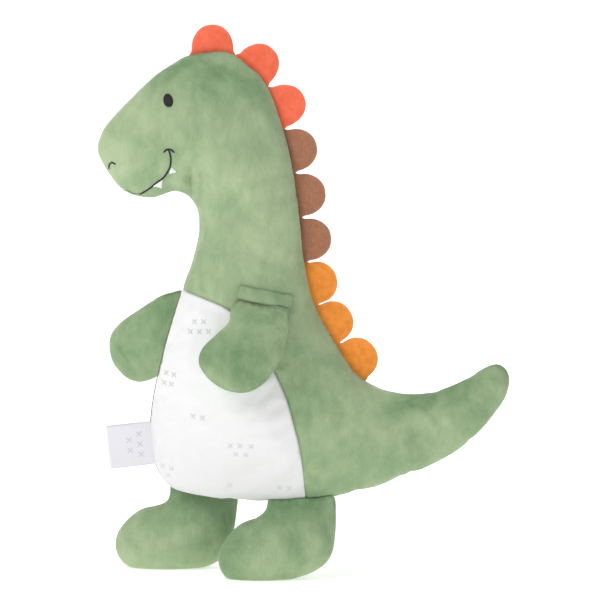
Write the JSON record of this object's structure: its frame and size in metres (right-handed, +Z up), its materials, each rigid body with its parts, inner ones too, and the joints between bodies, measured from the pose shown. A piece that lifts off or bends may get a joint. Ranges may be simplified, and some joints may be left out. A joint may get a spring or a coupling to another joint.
{
  "type": "stuffed dinosaur toy",
  "caption": "Stuffed long-necked dinosaur with padded crest scales, hanging arms, stuffed legs, embroidered face and a folded ribbon label.",
  "frame": {"origin": "middle of the bounding box's bottom face, on the surface that the soles stand on", "axes": "+Z up, -X the way that the toy faces, -Y its left side"},
  "size_m": [0.2375, 0.112, 0.3196],
  "materials": {
    "green_pile": "matte short pile",
    "white_pile": "matte short pile with a sparse grey print",
    "coral_cloth": "matte short pile",
    "brown_cloth": "matte short pile",
    "orange_cloth": "matte short pile",
    "black_thread": "satin embroidery",
    "white_thread": "satin embroidery",
    "fibre": "matte fibre filling",
    "ribbon": "satin ribbon"
  },
  "bodies": {
    "torso": {"side_panel_left": "green_pile", "side_panel_right": "green_pile", "belly_panel_left": "white_pile", "belly_panel_right": "white_pile", "trunk_filling": "fibre", "left_arm_tab": "green_pile", "right_arm_tab": "green_pile", "brown_scale_3": "brown_cloth", "orange_scale_1": "orange_cloth", "orange_scale_2": "orange_cloth", "orange_scale_3": "orange_cloth"},
    "head": {"head_panel_left": "green_pile", "head_panel_right": "green_pile", "head_filling": "fibre", "coral_scale_1": "coral_cloth", "coral_scale_2": "coral_cloth", "coral_scale_3": "coral_cloth", "brown_scale_1": "brown_cloth", "brown_scale_2": "brown_cloth", "eye_left": "black_thread", "mouth_left": "black_thread", "nostril_left": "black_thread", "front_tooth_left": "white_thread", "back_tooth_left": "white_thread", "eye_right": "black_thread", "mouth_right": "black_thread", "nostril_right": "black_thread", "front_tooth_right": "white_thread", "back_tooth_right": "white_thread"},
    "tail": {"tail_panel_left": "green_pile", "tail_panel_right": "green_pile", "tail_filling": "fibre"},
    "left_arm": {"left_arm_outer": "green_pile", "left_arm_inner": "green_pile", "left_arm_filling": "fibre"},
    "right_arm": {"right_arm_outer": "green_pile", "right_arm_inner": "green_pile", "right_arm_filling": "fibre"},
    "left_leg": {"left_leg_outer": "green_pile", "left_leg_inner": "green_pile", "left_leg_filling": "fibre"},
    "right_leg": {"right_leg_outer": "green_pile", "right_leg_inner": "green_pile", "right_leg_filling": "fibre"},
    "label": {"label": "ribbon"}
  },
  "joints": [
    {"name": "neck_bend", "type": "hinge", "parent": "torso", "child": "head", "pos_m": [-0.032, 0, 0.2087], "axis": [1, 0, 0], "range_deg": [-20, 20], "stiffness_Nm_per_rad": 0.35},
    {"name": "tail_bend", "type": "hinge", "parent": "torso", "child": "tail", "pos_m": [0.05345, 0, 0.08308], "axis": [-0.1666, 0, 0.986], "range_deg": [-25, 25], "stiffness_Nm_per_rad": 0.05},
    {"name": "left_arm_lift", "type": "hinge", "parent": "torso", "child": "left_arm", "pos_m": [-0.02375, -0.03114, 0.16115], "axis": [-0.9736, 0, 0.2283], "range_deg": [0, 140]},
    {"name": "right_arm_lift", "type": "hinge", "parent": "torso", "child": "right_arm", "pos_m": [-0.0603, 0.0316, 0.14967], "axis": [0.6428, 0, -0.766], "range_deg": [0, 140]},
    {"name": "left_leg_splay", "type": "hinge", "parent": "torso", "child": "left_leg", "pos_m": [-0.003, -0.01751, 0.05191], "axis": [-1, 0, 0], "range_deg": [0, 45]},
    {"name": "right_leg_splay", "type": "hinge", "parent": "torso", "child": "right_leg", "pos_m": [-0.05987, 0.01751, 0.05709], "axis": [1, 0, 0], "range_deg": [0, 45]},
    {"name": "label_fold", "type": "hinge", "parent": "torso", "child": "label", "pos_m": [-0.08799, 0, 0.0768], "axis": [-0.1105, 0, 0.9939], "range_deg": [-50, 50], "stiffness_Nm_per_rad": 0.0004}
  ]
}
